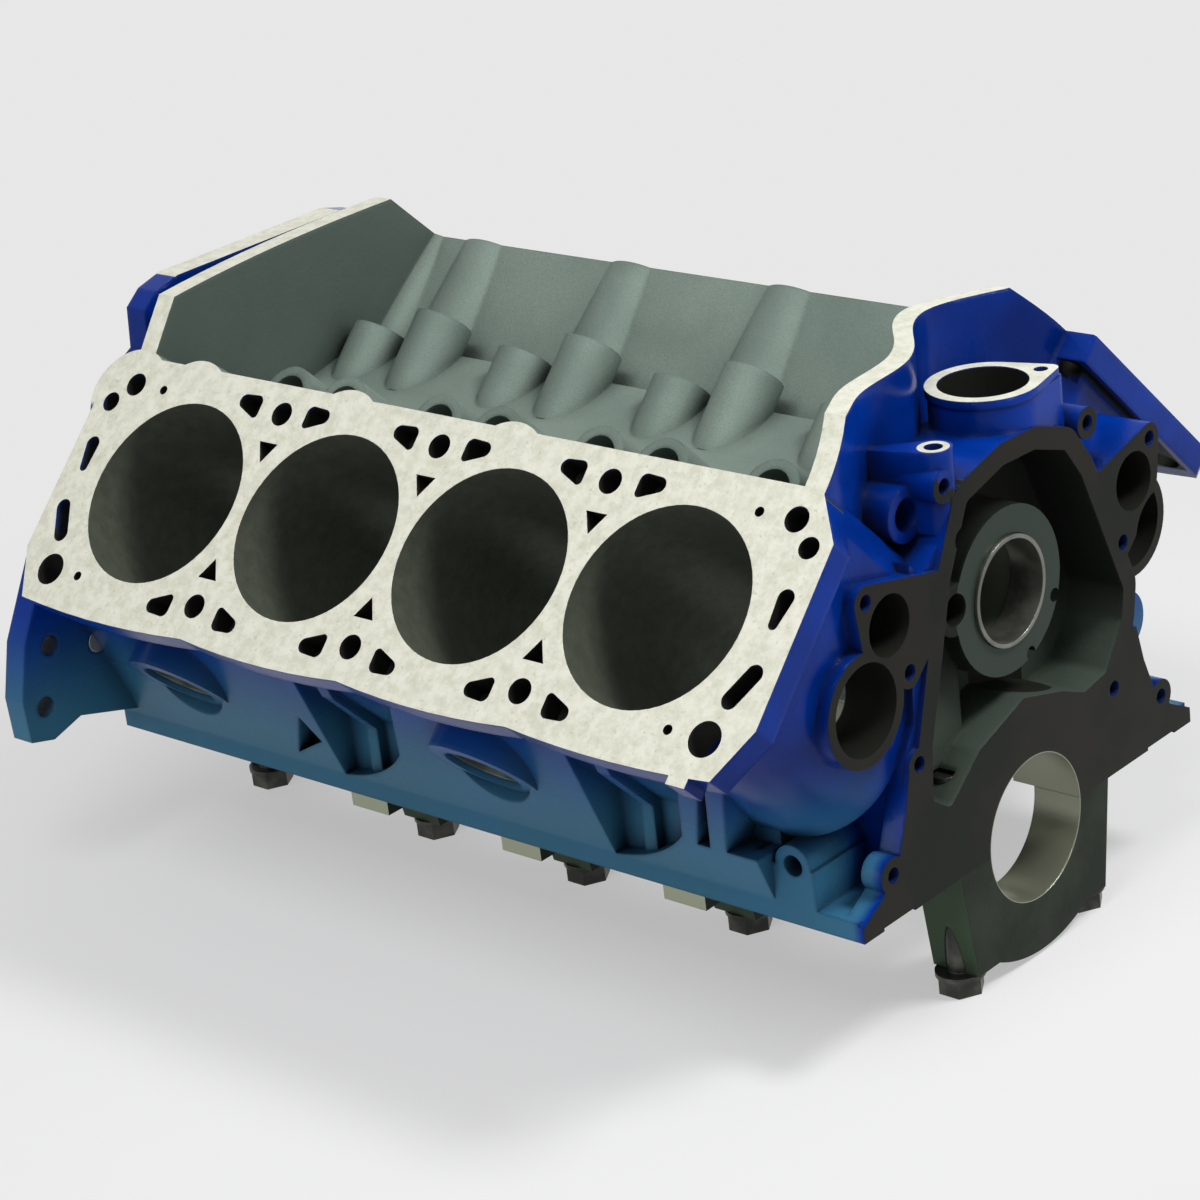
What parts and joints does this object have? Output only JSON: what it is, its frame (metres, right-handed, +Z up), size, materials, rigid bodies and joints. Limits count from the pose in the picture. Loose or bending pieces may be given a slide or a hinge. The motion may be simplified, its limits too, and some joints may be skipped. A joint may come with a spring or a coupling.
{
  "type": "engine block",
  "caption": "Bare V-shaped iron engine block, blue outside with machined decks, open valley and timing chest, bolted main caps, cam bearings, core plugs and bellhousing dowels",
  "frame": {"origin": "centre of the centre main bearing, on the crank axis", "axes": "+X along the crank axis to the timing end, +Y to the far bank, +Z up between the banks"},
  "size_m": [0.5266, 0.4408, 0.3082],
  "materials": {
    "casting": "glossy blue enamel outside, bare machined iron on decks, bores and gasket faces",
    "caps": "dark bare iron with machined faces",
    "bolts": "dark oiled steel",
    "bearing": "grey bearing metal",
    "plugs": "plain pressed steel",
    "dowels": "ground steel"
  },
  "bodies": {
    "root": {"bellhousing_dowel_far": "dowels", "bellhousing_dowel_near": "dowels", "block_casting": "casting", "cam_bearing_1": "bearing", "cam_bearing_2": "bearing", "cam_bearing_3": "bearing", "cam_bearing_4": "bearing", "cam_bearing_5": "bearing", "core_plug_far_1": "plugs", "core_plug_far_2": "plugs", "core_plug_near_1": "plugs", "core_plug_near_2": "plugs", "main_bolt_1_far_inner": "bolts", "main_bolt_1_near_inner": "bolts", "main_bolt_2_far_inner": "bolts", "main_bolt_2_far_outer": "bolts", "main_bolt_2_near_inner": "bolts", "main_bolt_2_near_outer": "bolts", "main_bolt_3_far_inner": "bolts", "main_bolt_3_far_outer": "bolts", "main_bolt_3_near_inner": "bolts", "main_bolt_3_near_outer": "bolts", "main_bolt_4_far_inner": "bolts", "main_bolt_4_far_outer": "bolts", "main_bolt_4_near_inner": "bolts", "main_bolt_4_near_outer": "bolts", "main_bolt_5_far_inner": "bolts", "main_bolt_5_near_inner": "bolts", "main_cap_1": "caps", "main_cap_2": "caps", "main_cap_3": "caps", "main_cap_4": "caps", "main_cap_5": "caps"}
  },
  "joints": []
}
